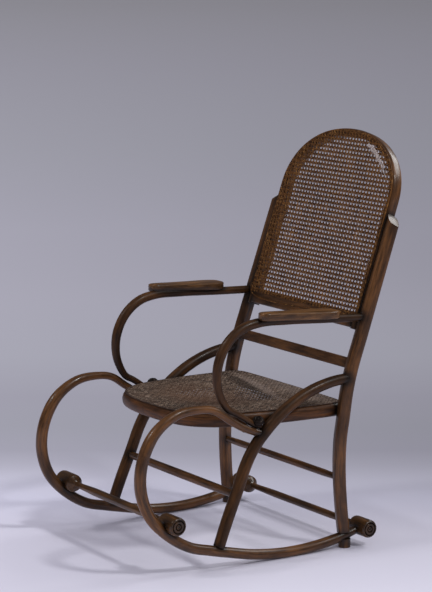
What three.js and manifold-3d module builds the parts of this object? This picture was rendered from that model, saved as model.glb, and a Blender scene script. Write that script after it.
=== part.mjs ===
// A bentwood rocking chair with a caned seat and a caned back.
// Millimetres, +Z up. The sitter looks along -Y and the sitter's left is +X.
// Each side frame is one slightly splayed, slightly leaning plane that holds a rocker, a front leg,
// a back post and an arm. The left frame is modelled and the right one is its mirror image.
import * as THREE from 'three';
import { mergeGeometries, mergeVertices } from 'three/addons/utils/BufferGeometryUtils.js';
import Module from 'manifold-3d';

const wasm = await Module();
wasm.setup();

// Fits
const fitGap = 0.3; // between two pieces that touch
const weldTolerance = 0.0001;
const overrun = 20; // how far a cutter runs past what it cuts
const cutterSize = 180; // block that bevels the posts
const regionSize = 1000; // block that parts the low rocker from its upper end
const pathSamples = 400;
const cornerPoints = 3; // on each rounded corner of a section
const sectionCorners = 4;
const quarterTurn = Math.PI / 2;
const fullTurn = Math.PI * 2;

// Side frame plane
const sideHalfWidth = 265; // chair centre to the frame, at seat height
const sideSplayShare = 0.029; // spread toward the back
const sideLeanShare = 0.026; // lean inward with height
const seatHeight = 395;

// Rockers
const rockerRod = 28;
const rockerTailRod = 21;
const rockerLoopRod = 31.5; // thickest, at the front of the loop
const rockerTopRod = 21;
const rockerEndRod = 20;
const rockerFloorRadius = 750;
const rockerContactY = 64;
const rockerToeY = -130; // where the floor arc ends
const rockerTailY = 282;
const rockerLoopRadius = 174;
const rockerLoopY = -221;
const rockerLoopZ = 261;
const rockerToeShares = [[0.18, -1.195], [-0.195, -1.086]];
const rockerLoopShares = [
  [-0.585, -0.832], [-0.873, -0.505], [-1.001, -0.088], [-0.95, 0.329], [-0.734, 0.701],
  [-0.355, 0.931], [0.088, 0.957],
]; // from the toe over the front to the crown, against the loop's radius
const rockerShoulderShares = [[0.3, 0.905], [0.555, 0.735], [0.78, 0.6]];
const rockerFloorSteps = 7;
const rockerSides = 10;
const rockerSteps = 42;

// Front legs
const legRod = 32;
const legFootRod = 31;
const legTopRod = 28;
const legFootY = -165;
const legTopZ = 461; // where it meets the back post
const legShares = [
  [0.06, 0.157], [0.145, 0.36], [0.21, 0.52], [0.275, 0.628], [0.36, 0.722],
  [0.46, 0.81], [0.575, 0.887], [0.71, 0.948], [0.86, 0.987],
];
const legRockerShare = 0.7; // height on the leg where the rocker's upper end butts
const footLip = 5; // how far a foot reaches down the sides of the rocker
const legSides = 10;
const legSteps = 24;

// Back posts
const postWidth = 30;
const postDepth = 34;
const postCorner = 9;
const postFootY = 229;
const postKneeY = 259; // start of the straight raked run
const postKneeZ = 487;
const postRun = 437;
const backRake = THREE.MathUtils.degToRad(19.4);
const postRunShares = [0, 0.2, 0.6, 1]; // places on the straight run
const postSpreadShare = -0.004; // sideways, along the straight run
const postShares = [
  [-0.23, 0.226], [-0.37, 0.36], [-0.4, 0.493], [-0.27, 0.616], [0.03, 0.723], [0.43, 0.869],
];
const postFootShare = 0.94; // section size at the foot
const postTopShare = 0.96;
const postBevel = THREE.MathUtils.degToRad(41);
const postBevelDrop = 20; // from the uncut end down to where the bevel starts
const postFlat = 7.5; // left square at the bevel's inner side
const postSteps = 20;

// Back hoop, in the plane of the posts' straight run, measured along that run
const hoopWidth = 22;
const hoopDepth = 33;
const hoopCorner = 8;
const hoopFootRun = 101;
const hoopArchRun = 458; // where the arch springs
const hoopArchRise = 182;
const hoopArchPower = 2.1;
const hoopArchSpread = 1.2; // crowds the arch's points toward its spring
const hoopArchPoints = 12; // on each half
const hoopLegPoints = 4; // on each straight side
const hoopSteps = 34;

// Rail under the back panel and slat below it
const railHeight = 42;
const railDepth = 22;
const railRise = 3; // above the hoop's feet
const slatRun = 10; // centre of the slat, along the posts' run
const slatHeight = 29;
const slatDepth = 14;
const barCorner = 3;

// Arms
const armRod = 22;
const armRearRod = 22;
const armLoopRod = 26; // thickest, at the front of the loop
const armEndRod = 16;
const armInset = 5; // inboard of the frame plane, at the loop and the tip
const armRearButt = 6; // how far the rear end starts inside the post
const armRearZ = 621;
const armRearRise = 5; // of the first straight stretch above the rear end
const armLoopRadius = 132;
const armLoopY = -29;
const armLoopZ = 505;
const armLoopEnd = THREE.MathUtils.degToRad(220);
const armLoopSteps = 5;
const armRunShares = [0.33, 0.75]; // places on the straight stretch, from the rear
const armHeelShares = [[-0.56, -0.765], [-0.375, -0.885]];
const armTipY = -27;
const armHeelY = -54;
const armStackGap = 1.5; // between the tip and the rocker below it
const armSides = 10;
const armSteps = 32;

// Arm pads
const padLength = 243;
const padFrontY = -39;
const padThickness = 23;
const padHalfWidth = 33; // at the widest place, near the rear
const padRound = 4;
const padSeat = 4; // how deep the pad's groove takes the arm
const padOutset = 14; // outboard of the frame plane

// Seat
const ringWidth = 30;
const ringHeight = 36;
const seatSlope = THREE.MathUtils.degToRad(0.9);
const seatFrontY = -225;
const seatBackY = 257;
const seatRearHalfWidth = 258;
const seatPivotY = 20;
const ringSegments = 48;

// Cane
const caneThickness = 2.2;
const caneBorder = 5; // back panel's edge to the hoop's outer edge
const canePitch = 36;
const caneStrand = 9;
const seatCaneInset = 11;
const seatCanePitch = 40;
const seatSag = 14;
const caneRim = 5; // solid weave inside the frame's inner edge

// Turned bars and their large ends
const barrelRadius = 24.5;
const barrelOut = 37; // past the side frame plane
const barrelLength = 67;
const barNeckPlace = 81; // from the bar's end to its neck
const frontBarRod = 22;
const rearBarRod = 20;
const barNeckRod = 15;
const barBellyShare = 0.5; // where the spindle reaches its full size, from the chair's centre
const frontBarAngle = THREE.MathUtils.degToRad(234.4);
const frontBarInset = 26; // from the loop's centreline to the bar's axis
const rearBarY = 290;
const barrelShares = [
  [0, 0], [0.22, 0], [0.32, 0.04], [0.42, 0], [0.62, 0], [0.7, 0.04], [0.78, 0], [0.93, 0.02],
  [1, 0.08], [1, 0.88], [0.9, 1], [0.62, 1.12],
]; // radius against barrelRadius, place against barrelLength
const barSegments = 14;

// Plain round stretchers
const frontStretcherRod = 22;
const frontStretcherZ = 190;
const rearStretcherRod = 19;
const rearStretcherZ = 192;
const stretcherSides = 10;

// Rear stops under the rockers
const stopRadius = 15;
const stopY = 232;
const stopSeat = 6; // how far it reaches up the rocker
const stopChamfer = 1.5;
const stopSides = 14;

// Round headed bolts at the arm ends, and screws
const buttonRadius = 14.5;
const buttonHeight = 18;
const buttonY = -41;
const buttonDomeShares = [[0.86, 0], [1, 0.3], [0.98, 0.56], [0.8, 0.82], [0.45, 0.97], [0, 1]];
const buttonSegments = 14;
const boltRod = 6;
const boltLength = 30;
const boltPoint = 3;
const screwRod = 4;
const screwHead = 8;
const screwHeadTop = 5.6;
const screwHeadHeight = 2.4;
const screwBite = 19; // into the second piece
const screwSink = 1.6;
const screwSides = 6;
const rockerEndScrewY = -80;
const rockerEndPitch = THREE.MathUtils.degToRad(23); // of that screw, off upright
const hoopScrewShares = [0.15, 0.85]; // along the stretch that the post and the hoop share

// The frame plane
const sideX = (y, z) => sideHalfWidth + sideSplayShare * y - sideLeanShare * (z - seatHeight);
const sidePoint = (y, z, inset = 0) => new THREE.Vector3(sideX(y, z) - inset, y, z);
const splineThrough = (points) => new THREE.CatmullRomCurve3(points, false, 'centripetal');

// Closed meshes with shared corners
function weld(geometry) {
  geometry.deleteAttribute('normal');
  geometry.deleteAttribute('uv');
  return mergeVertices(geometry, weldTolerance);
}

function toSolid(geometry) {
  const welded = weld(geometry);
  return new wasm.Manifold(new wasm.Mesh({
    numProp: 3,
    vertProperties: new Float32Array(welded.attributes.position.array),
    triVerts: new Uint32Array(welded.index.array),
  }));
}

function toGeometry(solid) {
  const mesh = solid.getMesh();
  const geometry = new THREE.BufferGeometry();
  geometry.setAttribute('position', new THREE.BufferAttribute(new Float32Array(mesh.vertProperties), 3));
  geometry.setIndex(new THREE.BufferAttribute(new Uint32Array(mesh.triVerts), 1));
  return geometry;
}

function mirrored(geometry) {
  const copy = geometry.clone();
  const position = copy.attributes.position;
  for (let i = 0; i < position.count; i++) position.setX(i, -position.getX(i));
  const index = copy.index.array;
  for (let i = 0; i < index.length; i += 3) [index[i + 1], index[i + 2]] = [index[i + 2], index[i + 1]];
  return copy;
}

const cut = (geometry, cutters) =>
  toGeometry(cutters.reduce((solid, cutter) => solid.subtract(cutter), toSolid(geometry)));
const bothSides = (geometry) => [toSolid(geometry), toSolid(mirrored(weld(geometry)))];

// Sections: x runs across the frame plane and y lies in it, square to the path
function roundSection(diameter, sides) {
  const points = [];
  for (let i = 0; i < sides; i++) {
    const angle = ((i + 0.5) / sides) * fullTurn - quarterTurn;
    points.push(new THREE.Vector2(Math.cos(angle) * diameter / 2, Math.sin(angle) * diameter / 2));
  }
  return new THREE.Shape(points);
}

function softSection(width, depth, corner) {
  const points = [];
  for (let quarter = 0; quarter < sectionCorners; quarter++) {
    const startAngle = quarter * quarterTurn;
    const middle = startAngle + quarterTurn / 2;
    for (let i = 0; i < cornerPoints; i++) {
      const angle = startAngle + quarterTurn * i / (cornerPoints - 1);
      points.push(new THREE.Vector2(
        Math.sign(Math.cos(middle)) * (width / 2 - corner) + Math.cos(angle) * corner,
        Math.sign(Math.sin(middle)) * (depth / 2 - corner) + Math.sin(angle) * corner,
      ));
    }
  }
  return new THREE.Shape(points);
}

// A rod bent along a path, its section scaled along the way by scaleAt(0 to 1)
function bentRod(path, section, steps, scaleAt = () => 1) {
  const options = { steps, bevelEnabled: false, extrudePath: path };
  const geometry = weld(new THREE.ExtrudeGeometry(section, options));
  const stations = path.getSpacedPoints(steps);
  const position = geometry.attributes.position;
  const point = new THREE.Vector3();
  for (let i = 0; i < position.count; i++) {
    point.fromBufferAttribute(position, i);
    let nearest = 0;
    for (let k = 1; k <= steps; k++) {
      if (point.distanceToSquared(stations[k]) < point.distanceToSquared(stations[nearest])) nearest = k;
    }
    point.sub(stations[nearest]).multiplyScalar(scaleAt(nearest / steps)).add(stations[nearest]);
    position.setXYZ(i, point.x, point.y, point.z);
  }
  return geometry;
}

// Reads a table of [place, value] pairs, straight between its entries
function readTable(table, place) {
  let last = table[0];
  for (const entry of table) {
    if (place <= entry[0]) {
      const span = entry[0] - last[0];
      return span > 0 ? last[1] + (entry[1] - last[1]) * (place - last[0]) / span : entry[1];
    }
    last = entry;
  }
  return last[1];
}

// Rocker centreline
const rodFlatShare = Math.cos(Math.PI / rockerSides);
const floorArcZ = (y) => {
  const centreZ = rockerFloorRadius + rockerRod / 2 * rodFlatShare;
  return centreZ - Math.sqrt(rockerFloorRadius ** 2 - (y - rockerContactY) ** 2);
};
const loopPoint = (shareY, shareZ) =>
  sidePoint(rockerLoopY + shareY * rockerLoopRadius, rockerLoopZ + shareZ * rockerLoopRadius);

// Post centreline
const runPoint = (run, x) =>
  new THREE.Vector3(x, postKneeY + Math.sin(backRake) * run, postKneeZ + Math.cos(backRake) * run);
const runSideX = (run) => sideX(postKneeY, postKneeZ) + postSpreadShare * run;
const postFootZ = floorArcZ(postFootY) + rockerRod / 2 - footLip;
const postPath = splineThrough([
  sidePoint(postFootY, postFootZ),
  ...postShares.map(([shareY, shareZ]) =>
    sidePoint(postFootY + shareY * (postKneeY - postFootY), shareZ * postKneeZ)),
  ...postRunShares.map((share) => runPoint(share * postRun, runSideX(share * postRun))),
]);

// The point of a path that lies at a height, on its rising run
function pathPointAtHeight(path, height) {
  const samples = path.getSpacedPoints(pathSamples);
  return samples.reduce((best, point) =>
    (Math.abs(point.z - height) < Math.abs(best.z - height) ? point : best));
}

// Leg centreline
const legFootZ = floorArcZ(legFootY) + rockerRod / 2 - footLip;
const legTop = pathPointAtHeight(postPath, legTopZ);
const legPath = splineThrough([
  sidePoint(legFootY, legFootZ),
  ...legShares.map(([shareY, shareZ]) => sidePoint(
    legFootY + shareY * (legTop.y - legFootY),
    legFootZ + shareZ * (legTopZ - legFootZ),
  )),
  legTop,
]);

// Rocker path, from its tail to its upper end at the leg
const floorStations = [];
for (let step = 0; step <= rockerFloorSteps; step++) {
  const y = THREE.MathUtils.lerp(rockerTailY, rockerToeY, step / rockerFloorSteps);
  floorStations.push(sidePoint(y, floorArcZ(y)));
}
const rockerEnd = pathPointAtHeight(legPath, legFootZ + legRockerShare * (legTopZ - legFootZ));
const rockerPath = splineThrough([
  ...floorStations,
  ...[...rockerToeShares, ...rockerLoopShares, ...rockerShoulderShares]
    .map(([shareY, shareZ]) => loopPoint(shareY, shareZ)),
  rockerEnd,
]);
const rockerTaperShares = [
  [0, rockerTailRod / rockerRod], [0.07, 1], [0.44, 1], [0.6, rockerLoopRod / rockerRod],
  [0.7, rockerLoopRod / rockerRod], [0.84, rockerTopRod / rockerRod], [1, rockerEndRod / rockerRod],
];
const rockerScale = (share) => readTable(rockerTaperShares, share);

const grown = (size) => size + 2 * fitGap / rodFlatShare;
const rockerBlank = (size) =>
  bentRod(rockerPath, roundSection(size, rockerSides), rockerSteps, rockerScale);

const legTaperShares = [[0, legFootRod / legRod], [0.15, 1], [0.6, 1], [1, legTopRod / legRod]];
const legBlank = (size) =>
  bentRod(legPath, roundSection(size, legSides), legSteps, (share) => readTable(legTaperShares, share));

const postTaperShares = [[0, postFootShare], [0.4, 1], [0.7, 1], [1, postTopShare]];
const postBlank = (gap) => bentRod(
  postPath,
  softSection(postWidth + 2 * gap, postDepth + 2 * gap, postCorner),
  postSteps,
  (share) => readTable(postTaperShares, share),
);

// Arm path, from the post over the pad and round to the rocker's upper end
const rockerUpperRun = rockerPath.getSpacedPoints(pathSamples).filter((point) => point.z > rockerLoopZ);
const rockerEndRun = (y) =>
  rockerUpperRun.reduce((best, point) => (Math.abs(point.y - y) < Math.abs(best.y - y) ? point : best));
const armOnRocker = (y) =>
  sidePoint(y, rockerEndRun(y).z + (rockerEndRod + armEndRod) / 2 + armStackGap, armInset);
const armRear = pathPointAtHeight(postPath, armRearZ);
const armTop = armLoopZ + armLoopRadius;
const armLoopStations = [];
for (let step = 0; step <= armLoopSteps; step++) {
  const angle = THREE.MathUtils.lerp(quarterTurn, armLoopEnd, step / armLoopSteps);
  armLoopStations.push(sidePoint(
    armLoopY + Math.cos(angle) * armLoopRadius,
    armLoopZ + Math.sin(angle) * armLoopRadius,
    armInset * step / armLoopSteps,
  ));
}
const postHalfRun = postDepth / 2 / Math.cos(backRake);
const armStartY = armRear.y - postHalfRun + armRearButt;
const armPath = splineThrough([
  sidePoint(armStartY, armRearZ),
  sidePoint(THREE.MathUtils.lerp(armRear.y, armLoopY, armRunShares[0]), armRearZ + armRearRise),
  sidePoint(THREE.MathUtils.lerp(armRear.y, armLoopY, armRunShares[1]), armTop - armRearRise / 2),
  ...armLoopStations,
  ...armHeelShares.map(([shareY, shareZ]) => sidePoint(
    armLoopY + shareY * armLoopRadius,
    armLoopZ + shareZ * armLoopRadius,
    armInset,
  )),
  armOnRocker(armHeelY),
  armOnRocker(armTipY),
]);
const armTaperShares = [
  [0, armRearRod / armRod], [0.3, 1], [0.48, armLoopRod / armRod], [0.66, armLoopRod / armRod],
  [0.93, armEndRod / armRod], [1, armEndRod / armRod],
];
const armBlank = (size) =>
  bentRod(armPath, roundSection(size, armSides), armSteps, (share) => readTable(armTaperShares, share));

// Screws and bolts, headed at a point and driven along a direction
function latheAlong(profile, segments, point, direction) {
  const rising = profile[0][1] < profile[profile.length - 1][1] ? profile : profile.slice().reverse();
  const geometry = weld(new THREE.LatheGeometry(rising.map(([r, h]) => new THREE.Vector2(r, h)), segments));
  const turn = new THREE.Quaternion().setFromUnitVectors(new THREE.Vector3(0, 1, 0), direction);
  geometry.applyMatrix4(new THREE.Matrix4().compose(point, turn, new THREE.Vector3(1, 1, 1)));
  return geometry;
}

function screw(point, direction, length) {
  const inward = direction.clone().normalize();
  const seat = point.clone().addScaledVector(inward, screwSink);
  const body = latheAlong([
    [0, length], [screwRod / 2, length], [screwRod / 2, 0], [screwHead / 2, 0],
    [screwHeadTop / 2, -screwHeadHeight], [0, -screwHeadHeight],
  ], screwSides, seat, inward);
  const hole = latheAlong([
    [0, length + fitGap], [screwRod / 2 + fitGap, length + fitGap], [screwRod / 2 + fitGap, fitGap],
    [screwHead / 2 + fitGap, fitGap], [screwHead / 2 + fitGap, -overrun], [0, -overrun],
  ], screwSides, seat, inward);
  return { body, hole: toSolid(hole) };
}

// The back panel's plane: x across, run up the back, depth toward the sitter
const runDirection = new THREE.Vector3(0, Math.sin(backRake), Math.cos(backRake));
const frontDirection = new THREE.Vector3(0, -Math.cos(backRake), Math.sin(backRake));
const acrossDirection = new THREE.Vector3(1, 0, 0);
const panelPlane = new THREE.Matrix4()
  .makeBasis(acrossDirection, runDirection, frontDirection)
  .setPosition(runPoint(0, 0));
const railPlane = (run, depth) => new THREE.Matrix4()
  .makeBasis(runDirection, frontDirection, acrossDirection)
  .setPosition(runPoint(run, 0).addScaledVector(frontDirection, depth));

// Hoop
const hoopX = (run) => runSideX(run) - (postWidth + hoopWidth) / 2 - fitGap;
const archPoint = (angle, grow) => {
  const halfWidth = hoopX(hoopArchRun) + grow;
  const rise = hoopArchRise - hoopWidth / 2 + grow;
  return [
    halfWidth * Math.cos(angle) ** (2 / hoopArchPower),
    hoopArchRun + rise * Math.sin(angle) ** (2 / hoopArchPower),
  ];
};
// Right half of the hoop's line from its foot to its crown, moved outward by grow
function halfHoop(footRun, grow) {
  const half = [];
  for (let step = 0; step < hoopLegPoints; step++) {
    const run = THREE.MathUtils.lerp(footRun, hoopArchRun, step / hoopLegPoints);
    half.push([hoopX(run) + grow, run]);
  }
  for (let step = 0; step <= hoopArchPoints; step++) {
    half.push(archPoint((step / hoopArchPoints) ** hoopArchSpread * quarterTurn, grow));
  }
  half[half.length - 1][0] = 0;
  return half;
}
const bothHalves = (half) => [...half, ...half.slice(0, -1).reverse().map(([x, y]) => [-x, y])];
const hoopPath = splineThrough(bothHalves(halfHoop(hoopFootRun, 0)).map(([x, run]) => runPoint(run, x)));
const hoopBlank = (gap) => bentRod(
  hoopPath,
  softSection(hoopWidth + 2 * gap, hoopDepth + 2 * gap, hoopCorner),
  hoopSteps,
);

const railTopRun = hoopFootRun + railRise + railHeight;
function crossRail(run, height, depth, depthShift, halfLength) {
  const section = softSection(height, depth, barCorner);
  const geometry = new THREE.ExtrudeGeometry(section, { depth: 2 * halfLength, bevelEnabled: false });
  geometry.translate(0, 0, -halfLength);
  return geometry.applyMatrix4(railPlane(run, depthShift));
}

// Plan of the seat's outer edge, as shares of its half width and its depth, front centre to back centre
const seatPlanShares = [
  [0, 0], [0.37, 0.014], [0.63, 0.062], [0.81, 0.165], [0.9, 0.275], [0.933, 0.37], [0.972, 0.49],
  [0.993, 0.61], [1.003, 0.78], [1.004, 0.9], [0.985, 0.955], [0.9, 0.99], [0.7, 1], [0.35, 1.003],
  [0, 1.004],
];
const ringSectionShares = [
  [-1, -0.9], [-0.88, -1], [-0.3, -1], [-0.1, -0.86], [0, -0.5], [-0.12, -0.12], [-0.4, 0], [-1, 0],
];
const seatPlan = (() => {
  const half = seatPlanShares.map(([shareX, shareY]) =>
    new THREE.Vector3(shareX * seatRearHalfWidth, seatFrontY + shareY * (seatBackY - seatFrontY), 0));
  const otherHalf = half.slice(1, -1).reverse().map((point) => new THREE.Vector3(-point.x, point.y, 0));
  const curve = new THREE.CatmullRomCurve3([...half, ...otherHalf], true, 'centripetal');
  const stations = [];
  for (let i = 0; i < ringSegments; i++) {
    const tangent = curve.getTangentAt(i / ringSegments);
    const out = new THREE.Vector3(tangent.y, -tangent.x, 0);
    stations.push({ point: curve.getPointAt(i / ringSegments), out });
  }
  return stations;
})();
const seatEdge = (inset) => seatPlan.map(({ point, out }) => {
  const moved = point.clone().addScaledVector(out, -inset);
  return [moved.x, moved.y];
});
const seatTilt = new THREE.Matrix4()
  .makeTranslation(0, seatPivotY, seatHeight)
  .multiply(new THREE.Matrix4().makeRotationX(-seatSlope))
  .multiply(new THREE.Matrix4().makeTranslation(0, -seatPivotY, 0));

function seatRing() {
  const profile = [...ringSectionShares, ringSectionShares[0]].map(([shareOut, shareUp]) =>
    new THREE.Vector2(shareOut * ringWidth, shareUp * ringHeight));
  const geometry = new THREE.LatheGeometry(profile, ringSegments);
  const position = geometry.attributes.position;
  for (let i = 0; i < position.count; i++) {
    const { point, out } = seatPlan[Math.floor(i / profile.length) % ringSegments];
    const corner = profile[i % profile.length];
    position.setXYZ(i, point.x + out.x * corner.x, point.y + out.y * corner.x, corner.y);
  }
  return weld(geometry).applyMatrix4(seatTilt);
}

// How far a place lies inside an edge, negative outside it
function insetAt(edge, x, y) {
  let inside = false;
  let nearest = Infinity;
  for (let i = 0; i < edge.length; i++) {
    const [ax, ay] = edge[i];
    const [bx, by] = edge[(i + 1) % edge.length];
    if ((ay > y) !== (by > y) && x < ax + (bx - ax) * (y - ay) / (by - ay)) inside = !inside;
    const along = THREE.MathUtils.clamp(
      ((x - ax) * (bx - ax) + (y - ay) * (by - ay)) / ((bx - ax) ** 2 + (by - ay) ** 2), 0, 1);
    nearest = Math.min(nearest, Math.hypot(x - ax - along * (bx - ax), y - ay - along * (by - ay)));
  }
  return inside ? nearest : -nearest;
}

// A flat net: a sheet with a border and square gaps wherever they fit inside the edge
function caneSheet(edge, margin, pitch, centreY) {
  const outline = new THREE.Shape(edge.map(([x, y]) => new THREE.Vector2(x, y)));
  const sheet = new THREE.ExtrudeGeometry(outline, { depth: caneThickness, bevelEnabled: false });
  const gaps = [];
  const reach = Math.ceil(Math.max(...edge.flat().map(Math.abs)) * 2 / pitch);
  const width = pitch - caneStrand;
  for (let row = -reach; row <= reach; row++) {
    for (let column = -reach; column <= reach; column++) {
      const x = column * pitch;
      const y = centreY + row * pitch;
      const corners = [[-1, -1], [-1, 1], [1, 1], [1, -1]];
      const fits = corners.every(([signX, signY]) =>
        insetAt(edge, x + signX * width / 2, y + signY * width / 2) >= margin);
      if (fits) gaps.push(new THREE.BoxGeometry(width, width, overrun).translate(x, y, 0));
    }
  }
  return cut(sheet, [toSolid(mergeGeometries(gaps))]);
}

function backCane() {
  const edge = bothHalves(halfHoop(railTopRun - 2 * caneBorder, hoopWidth / 2 - caneBorder));
  const sheet = caneSheet(edge, hoopWidth - caneBorder + caneRim, canePitch, (railTopRun + hoopArchRun) / 2);
  sheet.translate(0, 0, hoopDepth / 2 + fitGap);
  return sheet.applyMatrix4(panelPlane);
}

function seatCane() {
  const edge = seatEdge(seatCaneInset);
  const rim = ringWidth - seatCaneInset;
  const sheet = caneSheet(edge, rim + caneRim, seatCanePitch, (seatFrontY + seatBackY) / 2);
  const position = sheet.attributes.position;
  const reach = (seatBackY - seatFrontY) / 2 - ringWidth - seatCanePitch;
  for (let i = 0; i < position.count; i++) {
    const inset = insetAt(edge, position.getX(i), position.getY(i)) - rim - seatCanePitch;
    const sink = THREE.MathUtils.smoothstep(inset, 0, reach);
    position.setZ(i, position.getZ(i) + fitGap - seatSag * sink);
  }
  return sheet.applyMatrix4(seatTilt);
}

// Turned bars: a plain spindle that swells into a large ringed end on each side
function turnedBar(y, z, rod) {
  const end = sideX(y, z) + barrelOut;
  const half = [
    ...barrelShares.map(([shareR, shareIn]) => [shareR * barrelRadius, end - shareIn * barrelLength]),
    [barNeckRod / 2, end - barNeckPlace],
    [rod / 2, (end - barNeckPlace) * barBellyShare],
  ];
  const profile = [...half, ...half.slice().reverse().map(([r, h]) => [r, -h])];
  return latheAlong(profile, barSegments, new THREE.Vector3(0, y, z), acrossDirection);
}
const frontBarReach = rockerLoopRadius - frontBarInset;
const frontBarY = rockerLoopY + Math.cos(frontBarAngle) * frontBarReach;
const frontBarZ = rockerLoopZ + Math.sin(frontBarAngle) * frontBarReach;
const rearBarZ = floorArcZ(rearBarY);

function crossCylinder(point, diameter) {
  const geometry = new THREE.CylinderGeometry(diameter / 2, diameter / 2, 2 * point.x, stretcherSides);
  geometry.rotateZ(quarterTurn);
  return geometry.translate(0, point.y, point.z);
}

// Arm pad, laid along the arm's straight stretch
const padPlanShares = [
  [0, 0.36], [0.02, 0.54], [0.07, 0.64], [0.3, 0.68], [0.6, 0.86], [0.8, 1], [0.92, 0.96], [0.98, 0.72],
  [1, 0.42],
];
function armPad() {
  const side = padPlanShares.map(([shareLong, shareWide]) =>
    [shareWide * padHalfWidth, shareLong * padLength]);
  const outline = [...side, ...side.slice().reverse().map(([x, y]) => [-x, y])];
  const shape = new THREE.Shape(outline.map(([x, y]) => new THREE.Vector2(x, y)));
  const geometry = new THREE.ExtrudeGeometry(shape, {
    depth: padThickness - 2 * padRound,
    bevelThickness: padRound,
    bevelSize: padRound,
    bevelOffset: -padRound,
    bevelSegments: 1,
  });
  const front = sidePoint(padFrontY, armTop, -padOutset);
  const along = sidePoint(armRear.y, armRearZ).sub(sidePoint(armLoopY, armTop)).normalize();
  const up = new THREE.Vector3().crossVectors(acrossDirection, along).normalize();
  const across = new THREE.Vector3().crossVectors(along, up);
  front.addScaledVector(up, armRod / 2 - padSeat + padRound);
  return geometry.applyMatrix4(new THREE.Matrix4().makeBasis(across, along, up).setPosition(front));
}

// Screws of the left frame, named by what they hold
const upward = new THREE.Vector3(0, 0, 1);
const forward = new THREE.Vector3(0, -1, 0);
const outward = acrossDirection;
const screwFromUnder = (centre, direction, reach, length) =>
  screw(centre.clone().addScaledVector(direction, -reach), direction, length);
const rockerEndUp = new THREE.Vector3(0, Math.sin(rockerEndPitch), Math.cos(rockerEndPitch));
const ringMiddleZ = seatHeight - ringHeight / 2;
const legAtRing = pathPointAtHeight(legPath, ringMiddleZ);
const postAtRing = pathPointAtHeight(postPath, ringMiddleZ);
const screws = {
  rocker_end_screw: screwFromUnder(
    rockerEndRun(rockerEndScrewY), rockerEndUp, rockerEndRod / 2, rockerEndRod + armEndRod),
  leg_top_screw: screwFromUnder(legTop, forward, postHalfRun, postDepth + screwBite),
  arm_rear_screw: screwFromUnder(
    sidePoint(armRear.y, armRearZ), forward, postHalfRun, postDepth + screwBite),
  leg_seat_screw: screwFromUnder(legAtRing, outward, legRod / 2 + ringWidth, ringWidth + screwBite),
  post_seat_screw: screwFromUnder(postAtRing, outward, postWidth / 2 + ringWidth, ringWidth + screwBite),
};
hoopScrewShares.forEach((share, i) => {
  const run = THREE.MathUtils.lerp(railTopRun, postRun, share);
  screws[`hoop_screw_${['lower', 'upper'][i]}`] =
    screwFromUnder(runPoint(run, hoopX(run)), outward, hoopWidth / 2, hoopWidth + screwBite);
});

// Round headed bolt that stands on the arm's tip
function armBolt() {
  const onRocker = armOnRocker(buttonY);
  const seat = onRocker.clone().setZ(onRocker.z + armEndRod / 2 - fitGap);
  const down = upward.clone().negate();
  const shank = boltRod / 2;
  const body = latheAlong([
    [0, boltLength], [shank, boltLength - boltPoint], [shank, 0],
    ...buttonDomeShares.map(([shareR, shareUp]) => [shareR * buttonRadius, -shareUp * buttonHeight]),
  ], buttonSegments, seat, down);
  const hole = latheAlong([
    [0, boltLength + fitGap], [shank + fitGap, boltLength + fitGap], [shank + fitGap, fitGap],
    [buttonRadius + fitGap, fitGap], [buttonRadius + fitGap, -overrun], [0, -overrun],
  ], buttonSegments, seat, down);
  return { body, hole: toSolid(hole) };
}
const bolt = armBolt();

// Turned stop under the rocker, below the back post
function rearStop() {
  const top = floorArcZ(stopY) - rockerTailRod / 2 + stopSeat;
  return latheAlong([
    [0, 0], [stopRadius - stopChamfer, 0], [stopRadius, stopChamfer], [stopRadius, top], [0, top],
  ], stopSides, sidePoint(stopY, 0), upward);
}

// Cutters, each a little larger than the piece that it stands for
const rockerCutters = bothSides(rockerBlank(grown(rockerRod)));
const legCutters = bothSides(legBlank(grown(legRod)));
const lowRegion = toSolid(new THREE.BoxGeometry(regionSize, regionSize, regionSize)
  .translate(0, 0, frontStretcherZ - regionSize / 2));
const legTopCutter = legCutters[0].subtract(lowRegion);
const rockerFloorCutter = rockerCutters[0].intersect(lowRegion);
const postCutters = bothSides(postBlank(fitGap));
const armCutters = bothSides(armBlank(grown(armRod)));
const hoopCutter = toSolid(hoopBlank(fitGap));
const rearBarCutter = (() => {
  const end = regionSize / 2;
  const radius = barrelRadius + fitGap;
  const centre = new THREE.Vector3(0, rearBarY, rearBarZ);
  const profile = [[0, end], [radius, end], [radius, 0], [0, 0]];
  return toSolid(latheAlong(profile, barSegments, centre, acrossDirection));
})();
const postTopCutter = (() => {
  const box = new THREE.BoxGeometry(cutterSize, cutterSize, cutterSize);
  box.translate(cutterSize / 2, 0, cutterSize / 2);
  box.rotateY(postBevel);
  box.rotateX(-backRake);
  const apex = runPoint(postRun - postBevelDrop, runSideX(postRun) - postWidth / 2 + postFlat);
  return toSolid(box.translate(apex.x, apex.y, apex.z));
})();

// Assembly
const chair = new THREE.Group();
const wood = { color: 0x5a3219, roughness: 0.38, metalness: 0 };
const cane = { color: 0x8c7458, roughness: 0.7, metalness: 0 };
const iron = { color: 0x2b2622, roughness: 0.45, metalness: 0.8 };
function add(name, geometry, look) {
  const mesh = new THREE.Mesh(geometry, new THREE.MeshStandardMaterial(look));
  mesh.name = name;
  chair.add(mesh);
}
function addPair(name, geometry, look) {
  add(`${name}_left`, geometry, look);
  add(`${name}_right`, mirrored(geometry), look);
}

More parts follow.
